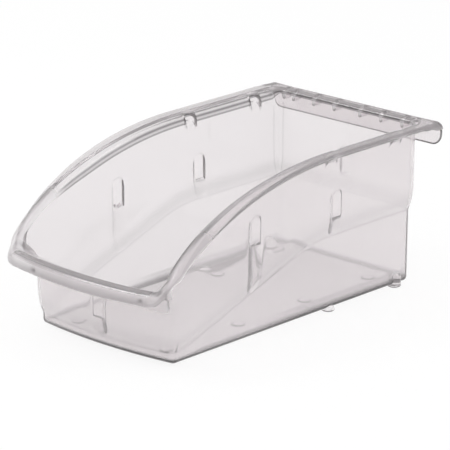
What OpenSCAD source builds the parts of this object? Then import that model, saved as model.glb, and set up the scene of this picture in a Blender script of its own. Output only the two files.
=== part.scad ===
// Clear storage bin that stacks on its own kind and hangs from a rail by its rear hook.
// +X is to the right seen from the front, +Y is the rear, +Z is up.
// The origin is under the middle of the bin, on the plane of its feet.

/* [Tray] */
// Width of the base, outside
base_w = 81.4; // [60:0.1:120]
// Length of the base along its middle, outside
base_l = 159.9; // [130:0.1:240]
// Height of the level rear rim above the underside
rear_h = 76.4; // [68:0.1:110]
// Height of the front lip above the underside
front_h = 35.7; // [32:0.1:50]
// How far the middle of the front bows out past its corners
front_bow = 3.4; // [2:0.1:6]
// Corner radius of the base
corner_r = 2.6; // [2.4:0.1:5]
// Thickness of the walls and the floor
wall_t = 1.6; // [1.2:0.1:2.4]
// Inside radius between floor and walls
heel_r = 0.6; // [0.3:0.1:1.5]
// Draft angle of the walls, in degrees
draft = 0.6; // [0.3:0.1:1.2]

/* [Step in the walls] */
// How far the walls swell out above the step
step_out = 2.1; // [1.5:0.1:2.5]
// Height over which the walls swell out
step_rise = 11; // [8:0.1:13]
// Height of the step at the rear
step_rear_z = 34.6; // [26:0.1:40]
// Height of the step at the front
step_front_z = 4.5; // [4:0.1:7]
// Length of the level part of the step, from the rear of the base
step_level_l = 67.1; // [40:0.1:90]

/* [Rim] */
// Thickness of the rim at its edge
rim_t = 2.2; // [1.8:0.1:2.8]
// How far out from the base the crest of the side rims lies
side_crest = 5.7; // [5:0.1:8]
// How far the level side rims go on past their crest
side_sheet = 5.6; // [4:0.1:8]
// How far out from the base the crest of the front lip lies
front_crest = 12; // [11:0.1:15]
// How far the middle of the front crest bows out past its ends
crest_bow = 1.8; // [1:0.1:4]
// Length of the front lip past its crest, measured round the roll
front_sheet = 8.7; // [7:0.1:11]
// Turn of the front lip past its crest, in degrees
front_roll = 100; // [70:1:110]
// Radius of the roll of the side rims
side_roll_r = 3.3; // [3:0.1:4]
// Radius of the roll of the front lip
front_roll_r = 4.4; // [4:0.1:5.5]
// Radius of the bend between the side walls and their rims
side_bend_r = 5.6; // [4:0.1:7]
// Radius of the bend between the front wall and its lip
front_bend_r = 6; // [4:0.1:7]
// Length of the level rim, from the rear of the base
rim_level_l = 62.1; // [40:0.1:80]
// Depth of the ellipse along which the rim sweeps down
sweep_drop = 57; // [50:0.5:70]
// How far in front of the base that ellipse ends
sweep_over = 14.2; // [12:0.1:18]

/* [Stacking pockets and feet] */
// Width of a pocket in the side rims
pocket_w = 7; // [5:0.1:9]
// How far a pocket is set into the rim
pocket_depth = 2.5; // [1.5:0.1:3]
// Height of a pocket under the bend of the rim
pocket_drop = 4; // [3:0.1:5]
// Distance of the rear pockets from the rear of the base
pocket_rear = 14.1; // [11:0.1:20]
// Distance between the pockets of one rim
pocket_pitch = 44; // [30:0.1:48]
// Radius of a foot
foot_r = 3.2; // [2.5:0.1:4]
// Height of the feet below the underside
foot_h = 1.3; // [0.8:0.1:2]
// How far a foot stands out past the side of the base
foot_out = 1.4; // [1:0.1:2]
// Height of the domed top of the rear feet above the underside
rear_foot_top = 6; // [4:0.1:8]
// Height of the domed top of the front feet above the underside
front_foot_top = 2.1; // [2:0.1:3.5]
// Distance of the rear feet from the rear of the base
foot_rear = 8.3; // [8:0.1:16]
// Distance between the two feet of one side
foot_pitch = 46.1; // [30:0.1:60]

/* [Hanger] */
// Width of the hanger
hanger_w = 105; // [100:0.1:112]
// How far the hanger stands out behind the base
hanger_reach = 8.5; // [8:0.1:12]
// How far behind the base the crest of the hanger lies
hanger_crest = 3.7; // [3:0.1:5]
// Height of the hanger, rim included
skirt_h = 11.4; // [9:0.1:16]
// Thickness of the hanger's hanging plate
skirt_t = 1.3; // [1.2:0.1:1.8]
// Radius of the lower corners of the hanging plate
skirt_r = 6; // [3:0.1:7]
// Width of a gusset in the hanger, at the flange
gusset_w = 2.6; // [2:0.1:3]
// Width of a gusset at its tip
gusset_tip_w = 0.9; // [0.5:0.1:1.5]
// Height of a gusset below the flange
gusset_h = 3; // [2:0.1:4]
// Distance of the innermost gussets from the middle
gusset_first = 7.9; // [4:0.1:10]
// Distance between gussets on one side
gusset_pitch = 12.7; // [8:0.1:13]
// Gussets on each side of the middle
gusset_count = 3; // [1:1:3]

/* [Divider guides] */
// Spaces that a full set of cross dividers makes
compartments = 3; // [2:1:4]
// Height of the guides above the underside
guide_h = 56; // [52:0.1:60]
// Radius of the half round of a guide
guide_r = 5.6; // [5:0.1:7]
// How far the half round stays behind the lower wall
guide_inset = 0.1; // [0.1:0.05:0.3]
// Width of the slot in a guide
slot_w = 6.3; // [4:0.1:7]
// Depth of the slot, from the top of the guide
slot_l = 13; // [10:0.1:15]

/* [Floor pads] */
// Radius of a pad
pad_r = 3.2; // [2:0.1:5]
// Height of a pad above the floor
pad_h = 0.3; // [0.2:0.1:0.8]
// Distance of the rear pads from the rear of the base
pad_rear = 14; // [10:0.1:20]
// Distance from the middle to the pads
pad_x = 27; // [15:0.1:30]
// Distance between rows of pads
pad_pitch = 44; // [30:0.1:44]
// Rows of pads
pad_rows = 4; // [2:1:4]

/* [Hidden] */

$fn = 48;
clear_plastic = [0.89, 0.87, 0.875, 0.45];

// Places along Y, measured from the rear of the base
rear_y = 0;
front_y = -base_l;
hanger_y = hanger_reach;
half_w = base_w / 2;

// Plan of the base: a bowed front, tangent corner arcs, straight sides and a straight rear
bow_r = (half_w * half_w + front_bow * front_bow) / (2 * front_bow);
bow_y = front_y + bow_r;
corner_x = half_w - corner_r;
rear_corner_y = rear_y - corner_r;
front_corner_y = bow_y - sqrt(pow(bow_r - corner_r, 2) - corner_x * corner_x);
bow_angle = asin(corner_x / (bow_r - corner_r));
bow_end_x = bow_r * sin(bow_angle);

// Section of the walls
heel_out = heel_r + wall_t;
lean = tan(draft);
level_step_y = rear_y - step_level_l;
step_blend = 4;

// Sweep of the rim
level_rim_y = rear_y - rim_level_l;
sweep_l = level_rim_y - front_y + sweep_over;
sweep_blend = 6;
crest_bow_r = (half_w * half_w + crest_bow * crest_bow) / (2 * crest_bow);
crest_bow_y = front_y - front_crest + crest_bow_r;
crest_corner = 9;
lip_turn_start = 12;
lip_turn_end = 60;

// Section of the rim
ramp = 25;
roll_shape = 1.5;
corner_tuck = 1.4;
bend_least = 0.2;
ramp_least = 0.4;
bend_blend = 0.5;
side_end = 2;
front_end = 1.2;
end_blend = 2;
far = 1000;

// Divider guides
guide_margin = 0.5;
guide_below = 4;
guide_start = 1;
guide_cut = 2.5;

// Fineness of the lofted surfaces
heel_steps = 3;
step_steps = 4;
bend_steps = 4;
roll_steps = 5;
nose_steps = 5;
corner_steps = 5;
side_step = 8;
bow_step = 9;
least_gap = 0.3;

function mix(a, b, w) = a + (b - a) * w;
function ease(u) = let (v = min(1, max(0, u))) v * v * (3 - 2 * v);
function soft_max(a, b, k) = max(a, b) + pow(max(0, k - abs(a - b)), 2) / (4 * k);
function soft_min(a, b, k) = -soft_max(-a, -b, k);
function reversed(v) = [for (i = [len(v) - 1:-1:0]) v[i]];
function falling(v) = len(v) < 2 ? v : let (p = v[floor(len(v) / 2)])
    concat(falling([for (a = v) if (a > p) a]), [p], falling([for (a = v) if (a < p) a]));
function clear_of(v, keys, gap) = [for (a = v) if (min([for (k = keys) abs(a - k)]) > gap) a];

// A station is a point of the base outline with its outward direction: [x, y, nx, ny].
function rear_station(x) = [x, rear_y, 0, 1];
function side_station(y) = [half_w, y, 1, 0];
function corner_station(y, a) = [corner_x + corner_r * cos(a), y + corner_r * sin(a), cos(a), sin(a)];
function bow_station(x) = let (a = asin(x / bow_r)) [x, bow_y - bow_r * cos(a), sin(a), -cos(a)];
function mirrored(stations) = [for (s = reversed(stations)) [-s[0], s[1], -s[2], s[3]]];

// Half the width of a guide where it meets the wall, and the places of the guides
guide_half = sqrt(guide_r * guide_r - pow(guide_r + guide_inset - step_out, 2));
guide_ys = [for (k = [1:compartments - 1]) rear_y - base_l * k / compartments];
guide_edges = [for (y = guide_ys, m = [-1, 1]) y + m * guide_half];
pocket_ys = [rear_y - pocket_rear, rear_y - pocket_rear - pocket_pitch];
pocket_cuts = [-1, -0.85, -0.5, 0, 0.5, 0.85, 1];
pocket_edges = [for (y = pocket_ys, v = pocket_cuts) y + v * pocket_w / 2];
side_keys = concat(guide_edges, clear_of(pocket_edges, guide_edges, least_gap));
side_l = rear_corner_y - front_corner_y;
side_count = ceil(side_l / side_step);
side_even = [for (k = [1:side_count - 1]) rear_corner_y - side_l * k / side_count];
side_ys = falling(concat(side_keys, clear_of(side_even, side_keys, side_step / 4)));

// Stations round the right half, from the rear middle to the front middle
hanger_corner_angle = atan2(hanger_y - rear_corner_y, hanger_w / 2 - corner_x);
rear_angles = concat(
    [for (k = [0:corner_steps - 1]) mix(90, hanger_corner_angle, k / corner_steps)],
    [for (k = [0:corner_steps]) mix(hanger_corner_angle, 0, k / corner_steps)]);
rear_straight = [for (x = [0, guide_half]) rear_station(x)];
rear_corner = [for (a = rear_angles) corner_station(rear_corner_y, a)];
side = [for (y = side_ys) side_station(y)];
corner_turn = 90 - bow_angle;
front_corner = [for (k = [0:2 * corner_steps])
    corner_station(front_corner_y, -corner_turn * k / (2 * corner_steps))];
bow_count = ceil(bow_end_x / bow_step);
bow_even = [for (k = [1:bow_count - 1]) bow_end_x * k / bow_count];
bow_xs = falling(concat([bow_end_x, guide_half, 0], clear_of(bow_even, [0, guide_half], bow_step / 4)));
front_half = [for (x = bow_xs) bow_station(x)];

// Stretches of stations that the walls and the rim are lofted through
back_wall_half = concat(rear_straight, [rear_corner[0]]);
hanger_half = concat(rear_straight, rear_corner);
side_wall_row = concat(rear_corner, side, front_corner);
side_rim_row = concat([rear_corner[len(rear_corner) - 1]], side, front_corner);
function tail(v) = [for (i = [1:len(v) - 1]) v[i]];
function both_rear(half) = concat(mirrored(tail(half)), half);
function both_front(half) = concat(half, tail(mirrored(half)));

// Share of the front lip's section and of the hanger's section at a station
function frontness(s) = ease((asin(-s[3]) - lip_turn_start) / (lip_turn_end - lip_turn_start));
function rearness(s) = max(0, s[3]);

// Height of the step's crease: level at the rear, then a straight slope down to the front
function crease(s) =
    let (w = (s[1] - front_corner_y) / (level_step_y - front_corner_y))
    let (slope = mix(step_front_z, step_rear_z, w))
    soft_max(soft_min(slope, step_rear_z, step_blend), step_front_z, step_blend);

// Distance from a station to the crest of the rim, along the station's direction
function to_side(s) = s[2] != 0 ? (half_w + side_crest - abs(s[0])) / abs(s[2]) : far;
function to_front(s) =
    let (from = [s[0], s[1] - crest_bow_y], ahead = from * [s[2], s[3]])
    s[3] < 0 ? sqrt(max(0, ahead * ahead - from * from + crest_bow_r * crest_bow_r)) - ahead : far;
function crest_d(s) = s[1] >= rear_corner_y ? mix(side_crest, hanger_crest, rearness(s))
                                            : soft_min(to_side(s), to_front(s), crest_corner);

// Height of the rim's crest: level at the rear, an elliptic sweep, then the level front lip
function crest(s) =
    let (t = min(1, max(0, (level_rim_y - s[1] - min(0, s[3]) * crest_d(s)) / sweep_l)))
    soft_max(rear_h - sweep_drop * (1 - sqrt(1 - t * t)), front_h, sweep_blend);

// Turn of the rim past its crest, which grows as the rim comes down, and the radius of that turn
function roll(s) = front_roll * pow((rear_h - crest(s)) / (rear_h - front_h), roll_shape);
function roll_r(s) = mix(side_roll_r, front_roll_r, frontness(s))
                     - corner_tuck * 2 * abs(s[2]) * max(0, -s[3]);

// The bend, a straight ramp and the roll share the room between the wall and the crest.
function room(s) = crest_d(s) - pocket(s) - (wall_d(s, crest(s) - roll_r(s)) - wall_t) - roll_r(s) * sin(ramp);
function bend_r(s) = max(rim_t + bend_least, soft_min(mix(side_bend_r, front_bend_r, frontness(s)),
                                                      room(s) / (1 - sin(ramp)), bend_blend));
function ramp_l(s) = max(ramp_least, (room(s) - bend_r(s) * (1 - sin(ramp))) / cos(ramp));
function bend_z(s) = crest(s) - bend_r(s) * cos(ramp) - ramp_l(s) * sin(ramp) - roll_r(s) * (1 - cos(ramp));
function split_z(s) = bend_z(s) - pocket_drop;
function hanger_reach_at(s) = min(s[2] != 0 ? (hanger_w / 2 - abs(s[0])) / abs(s[2]) : far,
                                  s[3] > 0 ? (hanger_y - s[1]) / s[3] : far);

// How far a stacking pocket sets the rim's bend outwards at a station
function pocket(s) = s[3] != 0 ? 0 : pocket_depth * max([for (y = pocket_ys)
    let (v = 2 * (s[1] - y) / pocket_w) abs(v) < 1 ? sqrt(1 - v * v) : 0]);

// Outside of the wall at height z, as a distance from the base outline
function swell(s, z) =
    let (u = min(1, max(0, (z - crease(s)) / step_rise)))
    step_out * (1 - (1 - u) * (1 - u));
function wall_d(s, z) = lean * (z - heel_out) + swell(s, z);

// Sections are lists of [d, z]: d along the outward direction, z above the underside.
function heel(r) = [for (k = [0:heel_steps])
    let (a = 90 * k / heel_steps) [r * sin(a) - heel_out, heel_out - r * cos(a)]];
function step_zs(s) = [for (k = [0:step_steps]) crease(s) + step_rise * k / step_steps];
function wall_zs(s) = concat(step_zs(s), [split_z(s)]);
function wall_section(s) = concat(
    heel(heel_out), [for (z = wall_zs(s)) [wall_d(s, z), z]],
    reversed(concat(heel(heel_r), [for (z = wall_zs(s)) [wall_d(s, z) - wall_t, z]])));

// The upright of the rim from the wall to the bend, with the pocket's sloping floor
function upright(s) =
    let (z0 = split_z(s), z1 = mix(z0, bend_z(s), 0.5), z2 = bend_z(s))
    [[wall_d(s, z0), z0], [wall_d(s, z1) + pocket(s), z1], [wall_d(s, z2) + pocket(s), z2]];
function bend_centre(s) = [wall_d(s, bend_z(s)) + pocket(s) - wall_t + bend_r(s), bend_z(s)];
function roll_centre(s) =
    [bend_centre(s)[0] + (roll_r(s) - bend_r(s)) * sin(ramp) + ramp_l(s) * cos(ramp), crest(s) - roll_r(s)];
function arc(centre, r0, r1, a0, a1, steps) = [for (k = [1:steps])
    let (a = mix(a0, a1, k / steps), r = mix(r0, r1, k / steps)) centre + r * [cos(a), sin(a)]];
function bend(s, inside) =
    let (r = bend_r(s))
    arc(bend_centre(s), r - (inside ? 0 : wall_t), r - (inside ? 0 : rim_t), 180, 90 + ramp, bend_steps);
function rolled(s, inside) =
    let (r = roll_r(s) - (inside ? 0 : rim_t))
    concat([roll_centre(s) + r * [-sin(ramp), cos(ramp)]],
           arc(roll_centre(s), r, r, 90 + ramp, 90 - roll(s), roll_steps));

// Length of the straight sheet past the roll, and its edge: round on the rim, square below on the hanger
function sheet_l(s) =
    let (round_roll = roll_r(s) * roll(s) * PI / 180)
    let (side_l = side_sheet + crest_d(s) - roll_centre(s)[0])
    soft_max(mix(side_l, front_sheet, frontness(s)) - round_roll,
             mix(side_end, front_end, frontness(s)), end_blend);
function round_nose(s) =
    let (a = roll(s), along = [cos(a), -sin(a)], up = [sin(a), cos(a)])
    let (centre = roll_centre(s) + (roll_r(s) - rim_t / 2) * up + (sheet_l(s) - rim_t / 2) * along)
    concat([centre + rim_t / 2 * up], arc(centre, rim_t / 2, rim_t / 2, 90 - a, -90 - a, nose_steps));
function hanger_nose(s) =
    let (centre = [hanger_reach_at(s) - rim_t, rear_h - rim_t])
    concat([centre + [0, rim_t]], arc(centre, rim_t, rim_t, 90, 0, nose_steps));
function rim_section(s, nose) = concat(
    [for (p = upright(s)) p - [wall_t, 0]], bend(s, true), rolled(s, true), nose,
    reversed(concat(upright(s), bend(s, false), rolled(s, false))));

// Middle of the whole bin along Y
front_out = let (s = bow_station(0)) max([for (p = rim_section(s, round_nose(s))) p[0]]);
middle_y = (hanger_y + front_y - front_out) / 2;

function placed(s, section) =
    [for (p = section) [s[0] + s[2] * p[0], s[1] + s[3] * p[0], p[1]]];

// Moves a piece from the rear of the base and its underside to the origin of the whole bin.
module in_frame() color(clear_plastic) translate([0, -middle_y, foot_h]) children();

// Solid through a row of sections with the same even number of points: one side of a strip, then the other.
// upward says that the sections climb the inside of the bin first.
module loft(sections, upward = false) {
    n = len(sections);
    m = len(sections[0]);
    sides = [for (i = [0:n - 2], j = [0:m - 1])
        let (a = i * m + j, b = i * m + (j + 1) % m)
        each [[a, b, b + m], [a, b + m, a + m]]];
    rungs = [for (j = [0:m / 2 - 2]) [j, j + 1, m - 2 - j, m - 1 - j]];
    caps = concat([for (r = rungs) reversed(r)], [for (r = rungs) [for (j = r) (n - 1) * m + j]]);
    faces = concat(sides, caps);
    polyhedron([for (r = sections) each r], upward ? [for (f = faces) reversed(f)] : faces);
}

module wall(stations) loft([for (s = stations) placed(s, wall_section(s))]);
module rim(stations) loft([for (s = stations) placed(s, rim_section(s, round_nose(s)))], true);

module base_floor() {
    half = concat(rear_straight, side_wall_row, tail(front_half));
    ring = concat(half, tail(mirrored(tail(half))));
    in_frame() linear_extrude(wall_t)
        polygon([for (s = ring) [s[0] - s[2] * heel_out, s[1] - s[3] * heel_out]]);
}

module front_wall() in_frame() wall(both_front(front_half));
module back_wall() in_frame() wall(both_rear(back_wall_half));
module right_wall() in_frame() wall(side_wall_row);
module left_wall() mirror([1, 0, 0]) right_wall();

module front_lip() in_frame() rim(both_front(front_half));
module right_rim() in_frame() rim(side_rim_row);
module left_rim() mirror([1, 0, 0]) right_rim();

module hanger_flange() in_frame()
    loft([for (s = both_rear(hanger_half)) placed(s, rim_section(s, hanger_nose(s)))], true);

// Hanging plate behind the rear wall, with round lower corners
module hanger_skirt() {
    h = skirt_h - rim_t;
    in_frame() translate([0, hanger_y, rear_h - skirt_h]) rotate([90, 0, 0]) linear_extrude(skirt_t)
        intersection() {
            translate([-hanger_w / 2, 0]) square([hanger_w, h]);
            union() {
                translate([skirt_r - hanger_w / 2, 0]) square([hanger_w - 2 * skirt_r, h]);
                translate([-hanger_w / 2, skirt_r]) square([hanger_w, h]);
                for (m = [-1, 1]) translate([m * (hanger_w / 2 - skirt_r), skirt_r]) circle(skirt_r);
            }
        }
}

// Gusset between the rear wall and the hanging plate: its outline from the side, narrowed to a tip below
module gusset() {
    s = rear_station(0);
    top = rear_h - rim_t;
    plate_d = hanger_reach - skirt_t;
    tip_z = top - gusset_h;
    outline = concat([[wall_d(s, tip_z), tip_z], upright(s)[2]], bend(s, false), rolled(s, false),
                     [[plate_d, top], [plate_d, tip_z]]);
    intersection() {
        translate([-gusset_w / 2, 0, 0]) rotate([90, 0, 90]) linear_extrude(gusset_w) polygon(outline);
        translate([0, hanger_y, tip_z]) rotate([90, 0, 0]) linear_extrude(hanger_reach)
            polygon([[-gusset_tip_w / 2, 0], [gusset_tip_w / 2, 0],
                     [gusset_w / 2, gusset_h], [-gusset_w / 2, gusset_h]]);
    }
}

module hanger_gussets() in_frame() for (m = [-1, 1], k = [0:gusset_count - 1])
    translate([m * (gusset_first + k * gusset_pitch), 0, 0]) gusset();

// Divider guide: a half round with a domed top that fills the swelling of the wall, slotted from above.
// Its rear is cut by the inside face of the wall, which slopes along the wall as the crease does.
function guide_top(s) = min(guide_h, bend_z(s) - guide_margin);
module half_round(s) {
    low = crease(s) - guide_start;
    h = guide_top(s) - guide_half - low;
    translate([guide_r + guide_inset + wall_d(s, low) - wall_t, 0, low]) rotate([0, draft, 0]) {
        cylinder(r = guide_r, h = h);
        translate([0, 0, h]) dome(guide_r);
    }
}
module behind_wall(s, slope) {
    zs = concat([crease(s) - guide_below], step_zs(s), [bend_z(s) + guide_below]);
    face = [for (z = zs) [wall_d(s, z) - wall_t, z]];
    far_d = guide_cut * guide_r;
    multmatrix([[1, lean * slope, 0, 0], [0, 1, 0, 0], [0, slope, 1, 0]])
        translate([0, far_d, 0]) rotate([90, 0, 0]) linear_extrude(2 * far_d)
            polygon(concat(face, [[far_d, zs[len(zs) - 1]], [far_d, zs[0]]]));
}
module guide(s, slope) translate([s[0], s[1], 0]) rotate([0, 0, atan2(s[3], s[2])]) difference() {
    half_round(s);
    translate([-guide_r, -slot_w / 2, guide_top(s) - slot_l]) cube([4 * guide_r, slot_w, slot_l + guide_r]);
    behind_wall(s, slope);
}

module right_divider_guides() in_frame() for (y = guide_ys)
    guide(side_station(y),
          (crease(side_station(y + guide_half)) - crease(side_station(y - guide_half))) / (2 * guide_half));
module left_divider_guides() mirror([1, 0, 0]) right_divider_guides();
module front_divider_guide() in_frame() guide(bow_station(0), 0);
module back_divider_guide() in_frame() guide(rear_station(0), 0);

// Upper half of a ball
module dome(r) intersection() {
    sphere(r);
    translate([-r, -r, 0]) cube([2 * r, 2 * r, r]);
}

// Round lug with a flat sole and a domed top, set against the lower edge of the side wall
module foot(y, top) difference() {
    s = side_station(y);
    dome_z = top - foot_r;
    above = top + foot_r;
    inner_d = -4 * foot_r;
    translate([half_w + foot_out - foot_r, y, -foot_h]) {
        cylinder(r = foot_r, h = foot_h + dome_z);
        translate([0, 0, foot_h + dome_z]) dome(foot_r);
    }
    translate([half_w, y + 2 * foot_r, 0]) rotate([90, 0, 0]) linear_extrude(4 * foot_r)
        polygon(concat(heel(heel_out), [[wall_d(s, above), above], [inner_d, above], [inner_d, 0]]));
}

module right_feet() in_frame() {
    foot(rear_y - foot_rear, rear_foot_top);
    foot(rear_y - foot_rear - foot_pitch, front_foot_top);
}
module left_feet() mirror([1, 0, 0]) right_feet();

module floor_pads() in_frame() for (m = [-1, 1], k = [0:pad_rows - 1])
    translate([m * pad_x, rear_y - pad_rear - k * pad_pitch, wall_t]) cylinder(r = pad_r, h = pad_h);

base_floor();
front_wall();
back_wall();
left_wall();
right_wall();
front_lip();
left_rim();
right_rim();
hanger_flange();
hanger_skirt();
hanger_gussets();
left_divider_guides();
right_divider_guides();
front_divider_guide();
back_divider_guide();
left_feet();
right_feet();
floor_pads();
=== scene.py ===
# %% [markdown]
# # A clear storage bin
# The object is one shot of water-clear plastic: a floor, four stepped walls, a rolled rim that sweeps down
# to a low front lip, and a hook behind the rear wall. Clear plastic shows every face inside it, so the bin
# is built here as one closed skin and not as panels that touch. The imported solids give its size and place.

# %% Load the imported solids
import math

import bpy
import numpy as np
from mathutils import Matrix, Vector


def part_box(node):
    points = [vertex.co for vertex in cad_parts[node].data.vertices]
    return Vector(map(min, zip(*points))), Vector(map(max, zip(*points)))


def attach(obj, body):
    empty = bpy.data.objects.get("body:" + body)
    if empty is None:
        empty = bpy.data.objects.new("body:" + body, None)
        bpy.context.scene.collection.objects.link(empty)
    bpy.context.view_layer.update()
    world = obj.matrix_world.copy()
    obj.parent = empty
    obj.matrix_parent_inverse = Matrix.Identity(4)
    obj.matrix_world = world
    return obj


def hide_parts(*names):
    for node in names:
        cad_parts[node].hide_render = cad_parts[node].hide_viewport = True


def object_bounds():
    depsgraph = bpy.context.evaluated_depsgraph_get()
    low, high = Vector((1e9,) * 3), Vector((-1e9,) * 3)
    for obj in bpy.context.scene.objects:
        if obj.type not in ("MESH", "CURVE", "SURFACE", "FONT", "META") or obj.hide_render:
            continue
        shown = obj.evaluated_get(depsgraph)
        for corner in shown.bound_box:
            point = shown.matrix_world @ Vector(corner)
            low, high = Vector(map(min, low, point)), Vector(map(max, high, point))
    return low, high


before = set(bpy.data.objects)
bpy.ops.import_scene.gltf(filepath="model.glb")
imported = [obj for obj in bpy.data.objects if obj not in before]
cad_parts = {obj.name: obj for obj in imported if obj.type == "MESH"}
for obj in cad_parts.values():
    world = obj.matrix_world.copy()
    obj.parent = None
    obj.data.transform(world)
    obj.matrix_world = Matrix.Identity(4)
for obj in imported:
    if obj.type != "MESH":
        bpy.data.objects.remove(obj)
cad_box = [list(corner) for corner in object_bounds()]
MM = 0.001


def box_mm(node):
    """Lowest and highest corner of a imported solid, in millimetres."""
    return [np.array(corner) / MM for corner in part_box(node)]


bin_low, bin_high = [np.array(corner) / MM for corner in cad_box]
print("bin", np.round(bin_high - bin_low, 1), "mm, solids:", len(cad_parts))

# %% [markdown]
# ## The camera
# The photograph was taken with a long lens from the front right, a little above the rim. A long lens keeps
# the sides of the bin almost parallel, so the distance matters less than the angle. The camera looks at a
# point inside the bin from an azimuth and an elevation, which are easier to read than a rotation.

# %% Camera
LENS_MM = 261.5
SENSOR_MM = 36.0
AZIMUTH = math.radians(43.01)
ELEVATION = math.radians(17.74)
DISTANCE_MM = 1490.4
LOOK_AT_MM = Vector((-14.13, 18.33, 31.3))

back = Vector((math.sin(AZIMUTH) * math.cos(ELEVATION),
               -math.cos(AZIMUTH) * math.cos(ELEVATION),
               math.sin(ELEVATION)))
lens = bpy.data.cameras.new("camera")
lens.lens = LENS_MM
lens.sensor_width = SENSOR_MM
camera = bpy.data.objects.new("camera", lens)
camera.location = (LOOK_AT_MM + back * DISTANCE_MM) * MM
camera.rotation_mode = "QUATERNION"
camera.rotation_quaternion = (-back).to_track_quat("-Z", "Y")
bpy.context.collection.objects.link(camera)
bpy.context.scene.camera = camera
print("camera at", [round(v, 3) for v in camera.location])

# %% [markdown]
# ## Sizes
# Everything is in millimetres above the floor's underside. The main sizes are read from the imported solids,
# and the rest are the ones a mould maker would write on the drawing: heights, radii and draft.

# %% Sizes of the bin
floor_low, floor_high = box_mm("base_floor")
WALL = floor_high[2] - floor_low[2]
UNDERSIDE = floor_low[2]
HEEL_R = 0.6
HEEL_OUT = HEEL_R + WALL
HALF_W = floor_high[0] + HEEL_OUT
REAR_Y = floor_high[1] + HEEL_OUT
FRONT_Y = floor_low[1] - HEEL_OUT
REAR_H = bin_high[2] - UNDERSIDE
HANGER_Y = bin_high[1]
HANGER_HALF = bin_high[0]
FRONT_H = 35.7
CORNER_R = 2.6
FRONT_BOW = 3.4
LEAN = math.tan(math.radians(0.6))
RIM = 2.2

BOW_R = (HALF_W ** 2 + FRONT_BOW ** 2) / (2 * FRONT_BOW)
BOW_Y = FRONT_Y + BOW_R
CORNER_X = HALF_W - CORNER_R
REAR_CORNER_Y = REAR_Y - CORNER_R
FRONT_CORNER_Y = BOW_Y - math.sqrt((BOW_R - CORNER_R) ** 2 - CORNER_X ** 2)
BOW_ANGLE = math.asin(CORNER_X / (BOW_R - CORNER_R))
BOW_END_X = BOW_R * math.sin(BOW_ANGLE)
print("wall", round(WALL, 2), "base", round(2 * HALF_W, 1), "x", round(REAR_Y - FRONT_Y, 1),
      "height", round(REAR_H, 1))


# %% [markdown]
# ## The plan of the bin
# Seen from above the base is a rounded rectangle with a bowed front. The skin is carried round this outline,
# so the outline is a row of stations, each a point with the direction that faces outwards. Stations crowd
# together where something small happens, such as at a divider guide, a stacking pocket or a dimple.

# %% Stations round the base
COMPARTMENTS = 3
SLOT_W, GUIDE_HALF = 6.3, 4.3
GUIDE_Y = REAR_Y - (REAR_Y - FRONT_Y) * np.arange(1, COMPARTMENTS) / COMPARTMENTS
POCKET_W, POCKET_FROM_REAR, POCKET_PITCH = 7.0, 14.1, 44.0
POCKET_Y = REAR_Y - POCKET_FROM_REAR - POCKET_PITCH * np.arange(2)
DIMPLE_X = np.array([-24.6, 35.4])
REAR_STEP, STEP, LEAST_STEP = 3.0, 1.7, 0.1
REAR_TURN_POINTS, HOOK_TURN_POINTS, FRONT_TURN_POINTS = 13, 15, 30


def crowded(start, stop, step, *details):
    """Rising positions every step from start to stop, joined by the detail positions that lie between.
    A position closer than the least step to the one before it is left out."""
    count = max(2, int(round((stop - start) / step)) + 1)
    spots = np.sort(np.concatenate([np.linspace(start, stop, count), *details]))
    spots = spots[(spots >= start) & (spots <= stop)]
    keep = np.concatenate([[True], np.diff(spots) > LEAST_STEP])
    keep[-1] = True
    return spots[keep]


def around(centres, reach, count):
    """Evenly spaced positions from -reach to +reach about each centre, as one flat array."""
    return (np.asarray(centres, float)[:, None] + np.linspace(-reach, reach, count)[None, :]).ravel()


def arc_stations(centre_x, centre_y, radius, angles):
    """Stations on a circle: centre plus radius times the direction, which also faces outwards."""
    direction = np.stack([np.cos(angles), np.sin(angles)], axis=1)
    return np.hstack([np.array([[centre_x, centre_y]]) + radius * direction, direction])


def straight_stations(x, y, nx, ny):
    """Stations along a straight line, all facing the same way."""
    x, y = np.broadcast_arrays(np.asarray(x, float), np.asarray(y, float))
    return np.stack([x, y, np.full(x.shape, nx), np.full(x.shape, ny)], axis=1)


guide_spots = np.concatenate([around([-SLOT_W / 2, SLOT_W / 2], reach=0.4, count=5),
                              around([0], reach=GUIDE_HALF, count=25)])
hanger_turn = math.atan2(HANGER_Y - REAR_CORNER_Y, HANGER_HALF - CORNER_X)
rear_turn = np.concatenate([np.linspace(math.pi / 2, hanger_turn, HOOK_TURN_POINTS)[:-1],
                            np.linspace(hanger_turn, 0, REAR_TURN_POINTS)])
side_spots = crowded(FRONT_CORNER_Y, REAR_CORNER_Y, STEP, (GUIDE_Y[:, None] + guide_spots[None, :]).ravel(),
                     around(POCKET_Y, reach=4.2, count=25))
front_turn = np.linspace(0, BOW_ANGLE - math.pi / 2, FRONT_TURN_POINTS)
bow_spots = crowded(0, BOW_END_X, STEP, guide_spots, around(np.abs(DIMPLE_X), reach=2.4, count=13))
bow_turn = -math.pi / 2 + np.arcsin(bow_spots / BOW_R)
half_ring = np.concatenate([
    straight_stations(crowded(0, CORNER_X, REAR_STEP, guide_spots)[:-1], REAR_Y, 0.0, 1.0),
    arc_stations(CORNER_X, REAR_CORNER_Y, CORNER_R, rear_turn),
    straight_stations(HALF_W, side_spots[1:-1][::-1], 1.0, 0.0),
    arc_stations(CORNER_X, FRONT_CORNER_Y, CORNER_R, front_turn[:-1]),
    arc_stations(0.0, BOW_Y, BOW_R, bow_turn[::-1]),
])
ring = np.concatenate([half_ring, half_ring[-2:0:-1] * np.array([-1, 1, -1, 1])])
px, py, nx, ny = [ring[:, k:k + 1] for k in range(4)]
print("stations round the base:", len(ring))


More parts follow.
